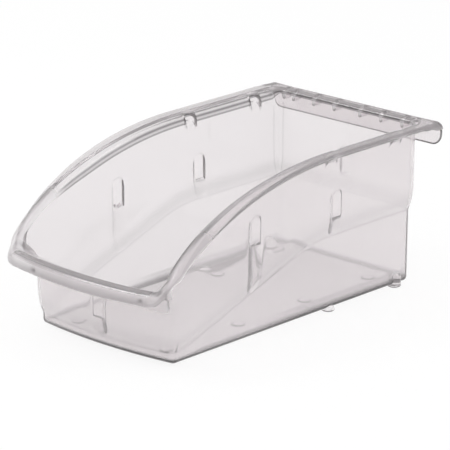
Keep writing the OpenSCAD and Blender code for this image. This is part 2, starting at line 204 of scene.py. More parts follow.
# %% [markdown]
# ## Soft joins
# Moulded shapes run into each other without a kink. A bevel could round an edge afterwards, but these short
# functions round the formulas themselves, so that all rows agree: a blend, a smooth step, the same step
# between two values, and a maximum and a minimum with a rounded corner.

# %% Blends
def mix(a, b, share):
    """Straight blend from a to b."""
    return a + (b - a) * share


def ease(share):
    """Smooth step: 3 s squared minus 2 s cubed, held at 0 and 1 outside."""
    s = np.clip(share, 0, 1)
    return s * s * (3 - 2 * s)


def eased(value, start, stop):
    """Smooth step of the share that the value has come from start to stop."""
    return ease((value - start) / (stop - start))


def soft_max(a, b, width):
    """The larger of two values, with the corner where they cross rounded over the given width."""
    return np.maximum(a, b) + np.maximum(0, width - np.abs(a - b)) ** 2 / (4 * width)


def soft_min(a, b, width):
    """The smaller of two values, rounded in the same way."""
    return -soft_max(-a, -b, width)


print("a corner softened over 1 mm is rounded by", float(soft_max(0.0, 0.0, 1.0)), "mm")

# %% [markdown]
# ## Lines that run round the bin
# A clear bin reads by its lines: the crease of the step and the crest of the rim. The crease is level at the
# rear and then slopes straight to the front. The crest is level at the rear, follows a quarter of an ellipse
# and ends in the level front lip. Near the front the tops of the side walls lean forward, into the ends of
# the lip. Such lines could be drawn as curves, but as heights over the stations they need no fitting.

# %% Crease, crest and roll
STEP_OUT, STEP_RISE = 2.1, 11.0
STEP_REAR_Z, STEP_FRONT_Z = 34.6, 4.5
STEP_LEVEL_RUN, RIM_LEVEL_RUN = 67.1, 62.1
STEP_LEVEL_Y, RIM_LEVEL_Y = REAR_Y - STEP_LEVEL_RUN, REAR_Y - RIM_LEVEL_RUN
CREASE_ROUND, CREST_ROUND = 4.0, 6.0
SWEEP_DROP = 57.0
SWEEP_PAST = 14.2
SWEEP_L = RIM_LEVEL_Y - FRONT_Y + SWEEP_PAST
ROLL_SIDE, ROLL_FRONT, CORNER_TUCK = 3.3, 4.4, 1.4
FRONT_ROLL, ROLL_POWER = math.radians(100), 1.5
CREST_SIDE, CREST_REAR = 5.7, 3.7
CREST_FRONT = FRONT_Y - bin_low[1] - ROLL_FRONT
CREST_BOW, CREST_CORNER = 1.8, 11.0
FORWARD, FORWARD_RUN = 7.2, 34.0
FORWARD_TURN, LIP_TURN = np.radians([25, 80]), np.radians([12, 60])
POCKET_DEPTH = 2.5
HOOK_CORNER = 0.5
FAR, TINY = 1e3, 1e-6


def distance(room, share):
    """How far a ray goes before it has crossed the room, when only a share of it runs that way."""
    return np.where(share > TINY, room / np.maximum(share, TINY), FAR)


on_side = (ny == 0)
on_rear = (py >= REAR_CORNER_Y - TINY)
facing_front = np.arcsin(-ny)
front_share = eased(facing_front, *LIP_TURN)
front_corner = 2 * np.abs(nx) * np.maximum(0, -ny)
along_front = ease((FRONT_CORNER_Y + FORWARD_RUN - py) / FORWARD_RUN)
near_front = along_front * (1 - eased(facing_front, *FORWARD_TURN))
rim_y = py - FORWARD * near_front
slope = mix(STEP_FRONT_Z, STEP_REAR_Z, (py - FRONT_CORNER_Y) / (STEP_LEVEL_Y - FRONT_CORNER_Y))
crease = soft_max(soft_min(slope, STEP_REAR_Z, CREASE_ROUND), STEP_FRONT_Z, CREASE_ROUND)
pocket_v = (py - POCKET_Y[None, :]) / (POCKET_W / 2)
pocket = POCKET_DEPTH * np.sqrt(np.clip(1 - pocket_v ** 2, 0, 1)).max(axis=1, keepdims=True) * on_side

crest_bow_r = (HALF_W ** 2 + CREST_BOW ** 2) / (2 * CREST_BOW)
from_bow_y = rim_y - (FRONT_Y - CREST_FRONT + crest_bow_r)
ahead = px * nx + from_bow_y * ny
left_over = ahead ** 2 - px ** 2 - from_bow_y ** 2 + crest_bow_r ** 2
to_front = np.where(ny < -TINY, np.sqrt(np.maximum(left_over, 0)) - ahead, FAR)
to_side = distance(HALF_W + CREST_SIDE - np.abs(px), np.abs(nx))
crest_out = np.where(on_rear, mix(CREST_SIDE, CREST_REAR, np.maximum(0, ny)),
                     soft_min(to_side, to_front, CREST_CORNER))
sweep = np.clip((RIM_LEVEL_Y - rim_y - np.minimum(ny, 0) * crest_out) / SWEEP_L, 0, 1)
crest = soft_max(REAR_H - SWEEP_DROP * (1 - np.sqrt(1 - sweep ** 2)), FRONT_H, CREST_ROUND)
roll = FRONT_ROLL * ((REAR_H - crest) / (REAR_H - FRONT_H)) ** ROLL_POWER
hanger_reach = soft_min(distance(HANGER_HALF - np.abs(px), np.abs(nx)), distance(HANGER_Y - py, ny),
                        HOOK_CORNER)
print("crest from", round(float(crest.min()), 1), "to", round(float(crest.max()), 1), "mm")

# %% [markdown]
# ## The wall, and where the rim starts
# Above the crease the wall swells outwards, so that bins nest. Its top bends outwards, climbs a short ramp
# and rolls over the crest. These turns could be bevels on a plain wall, but the bend, the ramp and the roll
# share the room between the wall and the crest, so here the bend's radius and height follow from that room.

# %% Wall and bend
CREASE_SOFT = 0.04
FLARE = 1.6
FORWARD_Z = (22.0, 37.0)
RAMP = math.radians(25)
SIDE_BEND_R, FRONT_BEND_R, BEND_SOFT = 5.6, 6.0, 0.5
BEND_LEAST, RAMP_LEAST = 0.2, 0.2
POCKET_DROP = 4.0


def risen(z):
    """Share of the flare and of the forward lean that is reached at height z."""
    return eased(z, *FORWARD_Z)


def swell(z):
    """How far the wall stands out above the step: a parabola that starts at the crease and ends upright."""
    u = np.minimum(1, soft_max((z - crease) / STEP_RISE, 0.0, CREASE_SOFT))
    return STEP_OUT * (1 - (1 - u) ** 2)


def wall_out(z):
    """Outside of the wall at height z, as a distance from the base outline: the draft, the swelling above
    the step and, near the front corners, a flare towards the rim."""
    return LEAN * (z - HEEL_OUT) + swell(z) + FLARE * near_front * risen(z)


def bend_sizes():
    """Radius of the bend at the wall's top, length of the ramp and height at which the bend starts, from the
    room that the wall, the roll and a pocket leave."""
    room = crest_out - pocket - (wall_out(crest - roll_r) - WALL) - roll_r * math.sin(RAMP)
    widest = mix(SIDE_BEND_R, FRONT_BEND_R, front_share)
    radius = np.maximum(soft_min(widest, room / (1 - math.sin(RAMP)), BEND_SOFT), RIM + BEND_LEAST)
    ramp = np.maximum((room - radius * (1 - math.sin(RAMP))) / math.cos(RAMP), RAMP_LEAST)
    height = radius * math.cos(RAMP) + ramp * math.sin(RAMP) + roll_r * (1 - math.cos(RAMP))
    return radius, ramp, crest - height


roll_r = mix(ROLL_SIDE, ROLL_FRONT, front_share) - CORNER_TUCK * front_corner
bend_r, ramp_l, bend_z = bend_sizes()
bend_d = wall_out(bend_z) + pocket - WALL + bend_r
crest_d = bend_d - bend_r * math.sin(RAMP) + ramp_l * math.cos(RAMP) + roll_r * math.sin(RAMP)
roll_z = crest - roll_r
split_z = bend_z - POCKET_DROP
print("bend starts from", round(float(bend_z.min()), 1), "to", round(float(bend_z.max()), 1), "mm up")

# %% [markdown]
# ## Divider guides
# A loose divider slides into a low round rib with a slot. A rib could be a solid of its own, but it is part
# of the inside of the wall, so it is one more term in the wall's distance: how far the inside stands in.

# %% Guides
GUIDE_TOP, GUIDE_MARGIN = 56.0, 0.5
GUIDE_R = 9.0
GUIDE_PROUD, GUIDE_SOFT = 1.15, 0.3
SLOT_DEEP, SLOT_SOFT = 13.0, 0.9
ARCH_DEEP, ARCH_SOFT = 0.5, 0.8
FACES_END = 0.9

beside = np.where(on_side, py - GUIDE_Y[None, :], FAR)
across_end = np.where(np.abs(ny) > FACES_END, px, FAR)
guide_v = np.abs(np.concatenate([beside, across_end], axis=1)).min(axis=1, keepdims=True)
guide_top = np.minimum(GUIDE_TOP, bend_z - GUIDE_MARGIN)


def within(limit, value, soft):
    """1 where the value is below the limit, 0 where it is above, with a soft change half way."""
    return ease((limit - value) / soft + 0.5)


def slot_shares(z):
    """1 inside the slot of a guide and inside the arch of the slot's floor at height z, 0 outside."""
    above_top = z - guide_top
    above_ledge = within(above_top, -SLOT_DEEP, SLOT_SOFT)
    from_arch = np.sqrt(guide_v ** 2 + np.maximum(above_top + SLOT_W / 2, 0) ** 2)
    in_slot = within(SLOT_W / 2, guide_v, SLOT_SOFT) * above_ledge
    in_arch = within(SLOT_W / 2, from_arch, ARCH_SOFT) * above_ledge
    return in_slot, in_arch


def guide_depth(z):
    """How far a guide stands in from the wall at height z: a low round with a domed top, which starts flush
    with the lower wall. So it is the swelling, up to a limit, less the sag of a circle of radius r, which
    is r less the root of r squared less v squared less w squared, with v across and w up into the dome.
    The slot takes it away again from the ledge upwards, and its arched floor is set into the wall."""
    w = np.maximum(z - guide_top + GUIDE_HALF, 0)
    sag = GUIDE_R - np.sqrt(np.maximum(GUIDE_R ** 2 - guide_v ** 2 - w ** 2, 0))
    proud = soft_min(swell(z), GUIDE_PROUD, GUIDE_SOFT)
    in_slot, in_arch = slot_shares(z)
    return np.maximum(proud - sag, 0) * (1 - in_slot) - ARCH_DEEP * in_arch


print("stations on guides:", int((guide_v < GUIDE_HALF).sum()))

# %% [markdown]
# ## The section of the wall
# At each station the skin climbs the inside of the wall, rolls over the rim, turns round its edge and comes
# down the outside. A profile could be drawn for each station, but here each stretch is an array with one row
# a station, so the whole bin is worked out at once. Its points lie close together at the heel and the step.

# %% Heel and wall
HEEL_POINTS = 6
HEEL_BAND, HEEL_SHARE = 2.0, 0.3
HEEL_ROWS = np.array([1.0, 1.9, 2.3, 3.0])
STEP_ROWS = np.concatenate([[-0.15, -0.08, -0.04, 0.0, 0.04], np.linspace(0.1, 1, 12)])
LOW_SHARES = np.linspace(0, 1, 4)[None, 1:-1]
HIGH_ROWS_IN, HIGH_ROWS_OUT = 33, 17
UPRIGHT_SHARES, POCKET_SHARE = np.linspace(0, 1, 8)[None, 1:], 0.6


def pair(d, z):
    """Stacks distance and height into one array of section points, one row a station."""
    d, z = np.broadcast_arrays(d, z)
    shape = (len(ring), d.shape[1])
    return np.stack([np.broadcast_to(d, shape), np.broadcast_to(z, shape)], axis=2)


def heel(radius):
    """Quarter circle from the floor into the wall, about the heel's centre."""
    a = np.linspace(0, math.pi / 2, HEEL_POINTS)[None, :]
    return pair(radius * np.sin(a) - HEEL_OUT, HEEL_OUT - radius * np.cos(a))


def wall_rows(high_rows):
    """Heights of the wall's rows from the heel to the rim, close together at the heel and at the step."""
    start = crease + STEP_RISE * STEP_ROWS[0]
    band = np.minimum(HEEL_BAND, HEEL_SHARE * (start - HEEL_OUT))
    low = HEEL_OUT + band * HEEL_ROWS[None, :]
    step = crease + STEP_RISE * STEP_ROWS[None, :]
    high = mix(step[:, -1:], split_z, np.linspace(0, 1, high_rows)[None, 1:])
    return np.concatenate([low, mix(low[:, -1:], start, LOW_SHARES), step, high], axis=1)


def upright(inside):
    """Rows from the wall up to the bend, set outwards where there is a pocket."""
    z = mix(split_z, bend_z, UPRIGHT_SHARES)
    set_in = WALL + guide_depth(z) if inside else 0
    return pair(wall_out(z) + pocket * ease(UPRIGHT_SHARES / POCKET_SHARE) - set_in, z)


inner_z, outer_z = wall_rows(HIGH_ROWS_IN), wall_rows(HIGH_ROWS_OUT)
inner_wall = pair(wall_out(inner_z) - WALL - guide_depth(inner_z), inner_z)
outer_wall = pair(wall_out(outer_z), outer_z)
print("points up the wall:", inner_wall.shape[1], "inside and", outer_wall.shape[1], "outside")

# %% [markdown]
# ## The section of the rim
# The rim is the wall's own sheet, bent outwards, rolled over and ended with a round edge. A curve with a
# bevel could draw it, but its radius, slope and length change all the way round, so it is made of arcs about
# two centres and a straight ledge up to the edge. The lip has two small round dimples.

# %% Bend, roll and edge
BEND_SHARES, ROLL_SHARES = np.linspace(0, 1, 13)[None, 1:], np.linspace(0, 1, 21)[None, 1:]
DIMPLE_DEPTH, DIMPLE_R, DIMPLE_ANGLE = 0.9, 1.2, math.radians(8)
SHEET_SIDE, SHEET_FRONT = 5.6, 8.7
LEAST_SIDE, LEAST_FRONT, LEAST_SOFT = 2.0, 1.2, 2.0
CORNER_TRIM = 1.0
HOOK_ROUND, RIM_ROUND = 0.9, 0.5
EDGE_TURNS = np.radians(np.linspace(0, 80, 6))[None, :, None]

roll_angle = math.pi / 2 + RAMP - (RAMP + roll) * ROLL_SHARES


def bend(inside):
    """Arc from the upright wall to the slope of the ramp, about the bend's centre, thickening to the rim."""
    a = math.pi - (math.pi / 2 - RAMP) * BEND_SHARES
    r = bend_r - (0 if inside else mix(WALL, RIM, BEND_SHARES))
    return pair(bend_d + r * np.cos(a), bend_z + r * np.sin(a))


def dimple(a):
    """Depth of the two round dimples in the lip at angle a of the roll: a bell curve of the distance from
    the middle of the dimple, which is across in x and round the roll in a."""
    across = np.abs(px - DIMPLE_X[None, :]).min(axis=1, keepdims=True)
    around_roll = roll_r * (a - DIMPLE_ANGLE)
    return DIMPLE_DEPTH * np.exp(-(across ** 2 + around_roll ** 2) / DIMPLE_R ** 2) * front_share


def rolled(inside):
    """Arc over the crest, from the slope of the ramp to the droop of the sheet, about the roll's centre."""
    r = roll_r - (dimple(roll_angle) if inside else RIM)
    return pair(crest_d + r * np.cos(roll_angle), roll_z + r * np.sin(roll_angle))


def edge():
    """The rim's edge: two quarter rounds about points set in from the end of the sheet, equal on the rim and
    large over small on the hanger, measured along the sheet and square to it."""
    sheet = mix(SHEET_SIDE + crest_out - crest_d, SHEET_FRONT, front_share)
    least = mix(LEAST_SIDE, LEAST_FRONT, front_share)
    length = np.where(on_rear, hanger_reach - crest_d,
                      soft_max(sheet - roll_r * roll, least, LEAST_SOFT) - CORNER_TRIM * front_corner)
    round_top = np.where(on_rear, HOOK_ROUND, RIM_ROUND)[:, :, None] * RIM
    round_low = RIM - round_top
    along = np.stack([np.cos(roll), -np.sin(roll)], axis=2)
    up = np.stack([np.sin(roll), np.cos(roll)], axis=2)
    end = pair(crest_d, roll_z) + up * (roll_r[:, :, None] - RIM / 2) + along * length[:, :, None]
    a, b = EDGE_TURNS, EDGE_TURNS[:, ::-1]
    top = end + along * round_top * (np.sin(a) - 1) + up * (RIM / 2 - round_top + round_top * np.cos(a))
    low = end + along * round_low * (np.sin(b) - 1) - up * (RIM / 2 - round_low + round_low * np.cos(b))
    return np.concatenate([top, low], axis=1)


def ledge(start, stop, count):
    """Straight rows between the end of the roll and the edge, without the two ends."""
    share = np.linspace(0, 1, count + 2)[None, 1:-1, None]
    return mix(start[:, None, :], stop[:, None, :], share)


inner_roll, outer_roll = rolled(True), rolled(False)
rim_edge = edge()
print("points over the roll:", inner_roll.shape[1], "and round the edge:", rim_edge.shape[1])

# %% [markdown]
# ## Where the finish changes, and where shade is painted
# The mould is polished for the walls but eroded to a fine grain for the lip, so the lip and the lower ends
# of the side rims are frosted. Where the sheet turns sharply, light leaves it sideways and the plastic looks
# darker; that shade is painted into the colour as grey lines along the bends, rim, lip, heel, step, guide
# arches and rear corners, and on the hook's plate and teeth, the feet and the pads. Both could be painted by
# height, but they follow the section, so they are written on its points as numbers from 0 to 1, which the
# material reads as attributes.

# %% Frost and painted shade along the section
FROST_ROLL, FROST_LIP = np.radians([22, 33]), np.radians([30, 45])
SATIN, SATIN_RISE, CORNER_SATIN = 0.9, 3.0, 3.0
# Painted shade along each line: how dark a grey is painted into the colour, from 0 for clear to 1 for grey
SHADE_GREY = {"heel": 0.5, "rail": 0.3, "band": 0.35, "crease": 0.22, "step": 0.2, "arch": 0.3, "corner": 0.2,
        "bend": 0.2, "rim": 0.3, "rim edge": 0.22, "lip": 0.4, "lip edge": 0.35, "dimple": 0.6, "under": 0.6,
        "plate": 0.8, "gusset": 1.0, "foot": 0.9, "pad": 0.8}
BEND_LINES, BEND_LINE_W = (0.09, 0.42), (0.11, 0.13)
LIP_LINES, LIP_LINE_W = np.radians([104, 50]), np.radians([9, 10])
CORNER_LINES, CORNER_LINE_W = np.radians([8, 82]), np.radians([6, 6])
STEP_LINE, STEP_LINE_W = (0.35,), (0.3,)
CREASE_LINE, CREASE_LINE_W = (0.0,), (0.03,)
UNDER_LINE, UNDER_LINE_W = (0.6,), (0.3,)
LIP_SHADE, RIM_SHADE = np.radians([35, -10]), np.radians([55, 80])
LIP_LINE_TURN = np.radians([76, 82])
RAIL_FROM, RAIL_RUN = -27.0, 40.0


def lines(where, middles, widths):
    """Sum of bell curves, one about each middle, for thin lines along the skin."""
    return sum(np.exp(-((where - middle) / width) ** 2) for middle, width in zip(middles, widths))


frosted = eased(roll, *FROST_ROLL)
lip_share = eased(facing_front, *LIP_LINE_TURN)
side_share = frosted * (1 - lip_share)
satin = SATIN * side_share
corner_satin = SATIN * ease(CORNER_SATIN * front_corner)
bend_frost = np.maximum(corner_satin, satin * ease(SATIN_RISE * BEND_SHARES))
under_frost = np.maximum(corner_satin, satin * BEND_SHARES)
roll_frost = mix(frosted, satin, eased(roll_angle, *FROST_LIP))

# Painted shade: grey lines in the colour along the bends, the rim and the lip, where light bent away would
# leave the sheet dark; the lip and its edge are painted darker towards the lower end of the roll
bend_grey = (lines(BEND_SHARES, BEND_LINES, BEND_LINE_W) * (1 - frosted)
             + SHADE_GREY["bend"] * side_share * BEND_SHARES)
lip_grey = (SHADE_GREY["lip"] * lines(roll_angle, LIP_LINES, LIP_LINE_W)
            + SHADE_GREY["lip edge"] * eased(roll_angle, *LIP_SHADE))
rim_grey = SHADE_GREY["rim"] * side_share * eased(roll_angle, *RIM_SHADE)
# Painted shade: a dark spot is also painted in each dimple of the lip
roll_grey = lip_share * lip_grey + rim_grey + SHADE_GREY["dimple"] * dimple(roll_angle)
edge_grey = SHADE_GREY["lip edge"] * lip_share + SHADE_GREY["rim edge"] * side_share
# Painted shade: a grey line under the bend of the rear flange
under_grey = SHADE_GREY["under"] * on_rear * lines(BEND_SHARES, UNDER_LINE, UNDER_LINE_W)
# Painted shade: the heel is painted grey all round, and the side walls get a darker band along their foot
# towards the rear
along_rail = ease((py - RAIL_FROM) / RAIL_RUN) * on_side
heel_grey = SHADE_GREY["heel"] + SHADE_GREY["rail"] * along_rail
in_arch = slot_shares(inner_z)[1]
# 1 where the arch is half way in, 0 inside and outside of it
arch_line = 4 * in_arch * (1 - in_arch)
turned_to_rear = np.arcsin(np.maximum(ny, 0))
corner_line = lines(turned_to_rear, CORNER_LINES, CORNER_LINE_W) * (nx != 0) * (ny > 0)
# Painted shade: grey lines inside the wall on the step, round the arches of the guide slots and at the rear
# corners, and a band along the foot of the side walls
inner_grey = (SHADE_GREY["step"] * lines((inner_z - crease) / STEP_RISE, STEP_LINE, STEP_LINE_W)
              + SHADE_GREY["arch"] * arch_line + SHADE_GREY["corner"] * corner_line
              + SHADE_GREY["band"] * along_rail * (inner_z < HEEL_OUT + 2 * HEEL_BAND))
# Painted shade: a thin grey line along the outside crease of the step
outer_grey = SHADE_GREY["crease"] * lines((outer_z - crease) / STEP_RISE, CREASE_LINE, CREASE_LINE_W)
print("frosted stations:", int((frosted > 0).sum()), "of", len(ring))

# %% [markdown]
# ## The whole section
# The stretches are now put in order, each with its frost and its painted shade: up the inside, over the rim
# and down the outside. The outside runs downwards, so its rows are turned round.

# %% Section in order
FLOOR_MARGIN = 0.35
LEDGE_ROWS_TOP, LEDGE_ROWS_UNDER = 4, 3


def stretch(points, frost=0.0, grey=0.0, downwards=False):
    """A stretch of the section with its frost and painted shade: points, frost and grey, with one row a
    station.
    """
    shape = points.shape[:2]
    parts = points, np.broadcast_to(frost, shape), np.broadcast_to(grey, shape)
    return [part[:, ::-1] for part in parts] if downwards else parts


floor_edge = np.array([[-HEEL_OUT - FLOOR_MARGIN]])
stretches = [
    stretch(pair(floor_edge, np.array([[WALL]]))),
    stretch(heel(HEEL_R), 0.0, SHADE_GREY["heel"]),
    stretch(inner_wall, corner_satin * risen(inner_z), inner_grey),
    stretch(upright(True), corner_satin),
    stretch(bend(True), bend_frost, bend_grey),
    stretch(inner_roll, roll_frost, roll_grey),
    stretch(ledge(inner_roll[:, -1], rim_edge[:, 0], LEDGE_ROWS_TOP), frosted, edge_grey),
    stretch(rim_edge, frosted, edge_grey),
    stretch(ledge(rim_edge[:, -1], outer_roll[:, -1], LEDGE_ROWS_UNDER), frosted),
    stretch(outer_roll, frosted, downwards=True),
    stretch(bend(False), under_frost, under_grey, downwards=True),
    stretch(upright(False), corner_satin, downwards=True),
    stretch(outer_wall, corner_satin * risen(outer_z), outer_grey, downwards=True),
    stretch(heel(HEEL_OUT), 0.0, heel_grey, downwards=True),
    stretch(pair(floor_edge, np.array([[0.0]]))),
]
section, frost, grey = [np.concatenate(part, axis=1) for part in zip(*stretches)]
print("rows in the section:", section.shape[1], "frosted share:", round(float(frost.mean()), 3))


# %% [markdown]
# ## From loops to a closed solid
# A stack of closed loops wraps any simple solid: neighbouring loops are joined by quads and the first and
# last loops are filled. The bin's skin is such a stack, from the floor inside, over the rim, to the
# underside. The ends of the hook's flange droop a little, so that they look rolled. The same function makes
# the small features that are joined to the skin.

# %% Skin of the bin
HOOK_R, HOOK_END, HOOK_RUN = 4.0, 3.0, 5.0


def wrapped(name, loops):
    """Mesh object round a stack of closed loops, given as an array (loops, points, 3) in millimetres.
    Point j of loop i joins point j + 1 and loop i + 1; the two end loops become single faces."""
    m, n = loops.shape[:2]
    i, j = np.meshgrid(np.arange(m - 1), np.arange(n), indexing="ij")
    after = (j + 1) % n
    quads = np.stack([i * n + j, i * n + after, (i + 1) * n + after, (i + 1) * n + j], axis=2).reshape(-1, 4)
    faces = quads.tolist() + [list(range(n - 1, -1, -1)), list(range((m - 1) * n, m * n))]
    mesh = bpy.data.meshes.new(name)
    mesh.from_pydata((loops.reshape(-1, 3) * MM).tolist(), [], faces)
    mesh.validate()
    piece = bpy.data.objects.new(name, mesh)
    bpy.context.collection.objects.link(piece)
    return piece


def mark(piece, name, values):
    """Stores one number a point on a piece, under a name that a material can read."""
    layer = piece.data.attributes.new(name, "FLOAT", "POINT")
    layer.data.foreach_set("value", np.ascontiguousarray(values, np.float32).ravel())


reach, level = section[:, :, 0], section[:, :, 1]
skin = np.stack([px + nx * reach, mix(py, rim_y, risen(level)) + ny * reach, UNDERSIDE + level], axis=2)
past = np.clip(np.abs(skin[:, :, 0]) - HANGER_HALF + HOOK_END, 0, HOOK_END)
skin[:, :, 2] -= (HOOK_R - np.sqrt(HOOK_R ** 2 - past ** 2)) * ease((skin[:, :, 1] - REAR_Y) / HOOK_RUN)
clear_bin = wrapped("clear_bin", np.ascontiguousarray(skin.transpose(1, 0, 2)))
mark(clear_bin, "frost", frost.T)
# The painted shade is stored on the skin's points and darkens the colour in the material
mark(clear_bin, "painted_shade", grey.T)
print("skin of the bin:", len(clear_bin.data.polygons), "faces")

# %% [markdown]
# ## The hook's plate and gussets
# The bin hangs by a plate behind the rear wall, stiffened by small teeth under the flange. The plate could
# be a cube with a bevel, but its upper and lower corners have different radii. So it is a stack of loops that
# follow its outline and shrink at both faces. Plate and teeth start inside the skin, to leave no gap.

# %% Plate and gussets
skirt_low, skirt_high = box_mm("hanger_skirt")
SKIRT_R, TOP_R, LEAST_R = 6.0, 3.0, 0.05
EDGE_R, EDGE_LOOPS, TURN_POINTS = 0.9, 5, 13
OVERLAP, CLEAR_OF_FLANGE = 0.5, 0.02
GUSSET_X = np.array([7.9, 20.6, 33.3, 39.1])
GUSSET_HALF, GUSSET_TIP, GUSSET_DROP, GUSSET_POINTS = 1.4, 1.0, 3.0, 9
flange_under = UNDERSIDE + REAR_H - RIM
wall_face = REAR_Y + LEAN * REAR_H + STEP_OUT


def slab(name, low, high, radii):
    """Plate in the XZ plane between two corners: a rounded rectangle with its own radius at each corner, as
    loops from the front face to the rear face whose outline shrinks along a quarter circle at both edges."""
    turn = np.linspace(0, math.pi / 2, TURN_POINTS)
    a = np.concatenate([turn + k * math.pi / 2 for k in range(4)])
    r = np.repeat(radii, TURN_POINTS)
    right = np.repeat([True, False, False, True], TURN_POINTS)
    top = np.repeat([True, True, False, False], TURN_POINTS)
    cx = np.where(right, high[0] - r, low[0] + r)
    cz = np.where(top, high[2] - r, low[2] + r)
    t = np.linspace(0, math.pi / 2, EDGE_LOOPS)
    inset = np.concatenate([EDGE_R * (1 - np.sin(t)), EDGE_R * (1 - np.sin(t[::-1]))])
    y = np.concatenate([low[1] + EDGE_R * (1 - np.cos(t)), high[1] - EDGE_R * (1 - np.cos(t[::-1]))])
    radius = np.maximum(r[None, :] - inset[:, None], LEAST_R)
    x = cx[None, :] + radius * np.cos(a)[None, :]
    z = cz[None, :] + radius * np.sin(a)[None, :]
    return wrapped(name, np.stack([x, np.broadcast_to(y[:, None], x.shape), z], axis=2)[:, ::-1])


def gusset(x):
    """Tooth below the flange at x, from the rear wall to the plate: straight sides and a half-round tip."""
    half, tip = GUSSET_HALF, GUSSET_TIP
    a = np.linspace(0, math.pi, GUSSET_POINTS)
    across = np.concatenate([[half, half], tip * np.cos(a), [-half, -half]])
    down = np.concatenate([[-OVERLAP, 0], GUSSET_DROP - tip + tip * np.sin(a), [0, -OVERLAP]])
    y = np.array([[wall_face - OVERLAP], [skirt_low[1] + OVERLAP]])
    piece = wrapped("gusset", np.stack(np.broadcast_arrays(x + across, y, flange_under - down), axis=2))
    # Painted shade: each tooth is painted fully grey, for the dark outline it shows through the plastic
    mark(piece, "painted_shade", np.full(len(piece.data.vertices), SHADE_GREY["gusset"]))
    return piece


skirt = slab("skirt", skirt_low, skirt_high + np.array([0, -CLEAR_OF_FLANGE, OVERLAP]),
             [TOP_R, TOP_R, SKIRT_R, SKIRT_R])
# Painted shade: the plate's edges are painted grey, its front and rear faces are left clear
skirt_grey = np.full((2 * EDGE_LOOPS, 4 * TURN_POINTS), SHADE_GREY["plate"])
skirt_grey[[0, -1]] = 0
mark(skirt, "painted_shade", skirt_grey)
gussets = [gusset(side * x) for side in (-1, 1) for x in GUSSET_X]
print("plate", np.round(skirt_high - skirt_low, 1), "mm, gussets:", len(gussets))

# %% [markdown]
# ## Feet and pads
# The feet are round lugs with a flat sole and a domed top, which stand in the pockets of the bin below. The
# pads are low discs where the mould's pins pushed. Cylinders with bevels would come close, but a profile
# carried round an upright axis, as on a lathe, gives the sole's edge, the side and the dome at once.

# %% Feet and pads
LATHE_POINTS = 48
FOOT_R, SOLE_R, FOOT_PROUD = 3.2, 0.8, 1.4
FOOT_FROM_REAR, FOOT_PITCH = 8.3, 46.1
FOOT_TOPS = (6.0, 2.1)
SOLE_POINTS, DOME_POINTS, DOME_END = 6, 12, math.radians(86)
PAD_R, PAD_H, PAD_X = 3.2, 0.3, 27.0
PAD_FROM_REAR, PAD_PITCH, PAD_ROWS = 14.0, 44.0, 4
PAD_EDGE = np.array([[0.0, 0.12], [0.4, 0.04], [0.9, 0.0]])


def turned(name, centre_x, centre_y, profile, profile_grey):
    """Solid of revolution about an upright axis: the profile's radius and height carried round a circle,
    with one value of painted shade for each point of the profile."""
    a = np.linspace(0, 2 * math.pi, LATHE_POINTS + 1)[:-1]
    r, z = profile[:, :1], profile[:, 1:]
    x, y = centre_x + r * np.cos(a)[None, :], centre_y + r * np.sin(a)[None, :]
    piece = wrapped(name, np.stack([x, y, np.broadcast_to(z, x.shape)], axis=2))
    mark(piece, "painted_shade", np.repeat(profile_grey, LATHE_POINTS))
    return piece


def foot_profile(top):
    """Radius and height of a foot: flat sole, rounded sole edge, upright side and domed top."""
    a = np.linspace(0, math.pi / 2, SOLE_POINTS)
    sole = np.stack([FOOT_R - SOLE_R + SOLE_R * np.sin(a), SOLE_R * (1 - np.cos(a))], axis=1)
    start = math.asin(max(0.0, SOLE_R + FOOT_R - top) / FOOT_R)
    b = np.linspace(start, DOME_END, DOME_POINTS)
    dome = np.stack([FOOT_R * np.cos(b), top - FOOT_R + FOOT_R * np.sin(b)], axis=1)
    return np.concatenate([sole, dome])


# Painted shade: a grey ring on the rounded edge of each foot's sole
foot_grey = np.zeros(SOLE_POINTS + DOME_POINTS)
foot_grey[1:SOLE_POINTS - 1] = SHADE_GREY["foot"]
foot_x = HALF_W + FOOT_PROUD - FOOT_R
foot_y = REAR_Y - FOOT_FROM_REAR - FOOT_PITCH * np.arange(len(FOOT_TOPS))
feet = [turned("foot", side * foot_x, y, foot_profile(UNDERSIDE + top), foot_grey)
        for side in (-1, 1) for y, top in zip(foot_y, FOOT_TOPS)]

pad_top = UNDERSIDE + WALL + PAD_H
pad_side = np.array([[PAD_R, pad_top - PAD_H - OVERLAP], [PAD_R, pad_top - PAD_H]])
pad_profile = np.concatenate([pad_side, np.array([PAD_R, pad_top]) - PAD_EDGE])
# Painted shade: a grey ring round the top edge of each pad
pad_grey = SHADE_GREY["pad"] * np.array([0, 0, 1, 1, 0])
pad_y = REAR_Y - PAD_FROM_REAR - PAD_PITCH * np.arange(PAD_ROWS)
pads = [turned("pad", side * PAD_X, y, pad_profile, pad_grey) for side in (-1, 1) for y in pad_y]
print("feet:", len(feet), "pads:", len(pads))


# %% [markdown]
# ## One piece of plastic
# Where two clear solids only touch, light would see two faces with air between. A boolean union removes
# them, so the bin becomes one closed mesh, as it left its mould.

# %% Join the features to the skin
SHARP = math.radians(35)


def fused(piece, features):
    """Unites the features with the piece, one after another, and removes them."""
    for feature in features:
        join = piece.modifiers.new("join", "BOOLEAN")
        join.operation = "UNION"
        join.solver = "MANIFOLD"
        join.object = feature
        whole = bpy.data.meshes.new_from_object(piece.evaluated_get(bpy.context.evaluated_depsgraph_get()))
        piece.modifiers.clear()
        piece.data = whole
        bpy.data.objects.remove(feature)


fused(clear_bin, [skirt] + gussets + feet + pads)
clear_bin.data.name = "clear_bin"
clear_bin.data.shade_smooth()
clear_bin.data.set_sharp_from_angle(angle=SHARP)
clear_bin.data.calc_loop_triangles()
print("joined bin:", len(clear_bin.data.loop_triangles), "triangles")


